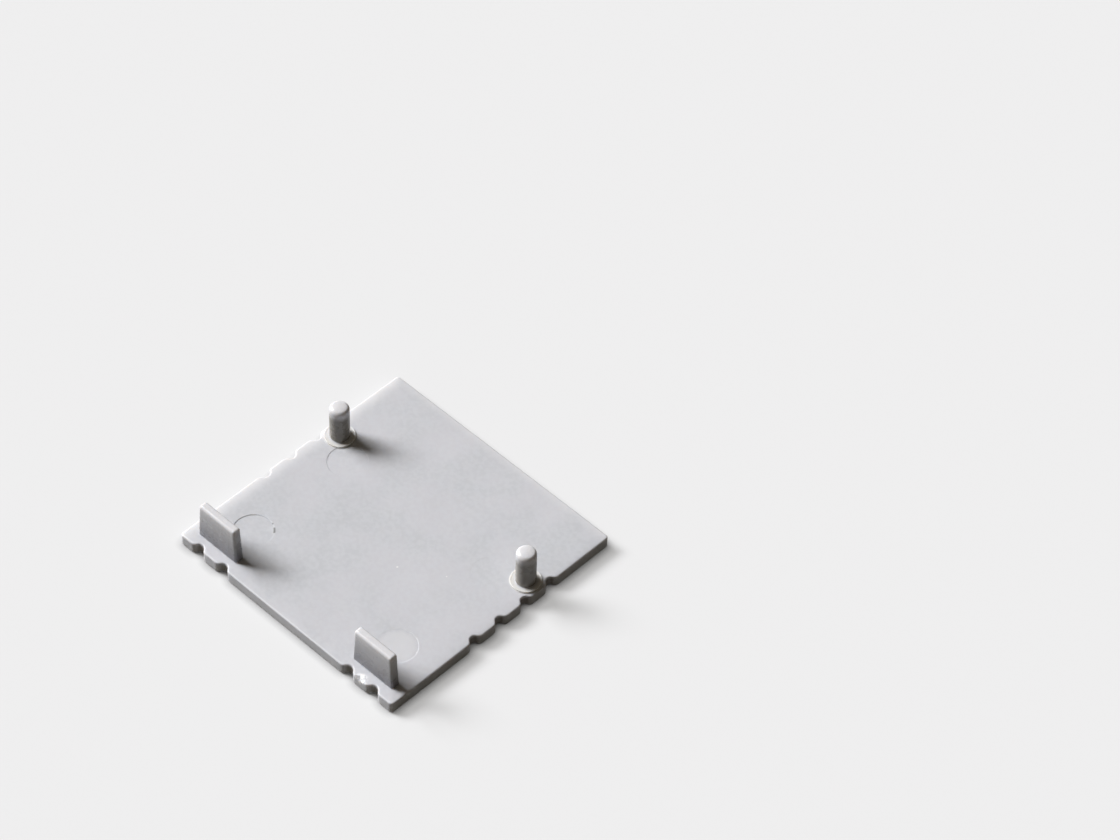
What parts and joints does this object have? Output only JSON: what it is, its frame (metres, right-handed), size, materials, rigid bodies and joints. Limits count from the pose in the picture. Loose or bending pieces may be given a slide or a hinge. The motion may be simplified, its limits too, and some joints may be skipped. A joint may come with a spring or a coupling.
{
  "type": "profile end cap",
  "caption": "Flat square plastic cap that closes the end of a square profile: round pins and flat tabs push into the profile, and scalloped edges follow its grooves.",
  "frame": {"origin": "middle of the show face, which is the underside here", "axes": "+Z out of the inner face, along the pins; -Y towards the edge with the tabs; +X along that edge"},
  "size_m": [0.03, 0.03, 0.006],
  "materials": {
    "cap_plastic": "fine matt moulded surface"
  },
  "bodies": {
    "root": {"end_cap": "cap_plastic"}
  },
  "joints": []
}
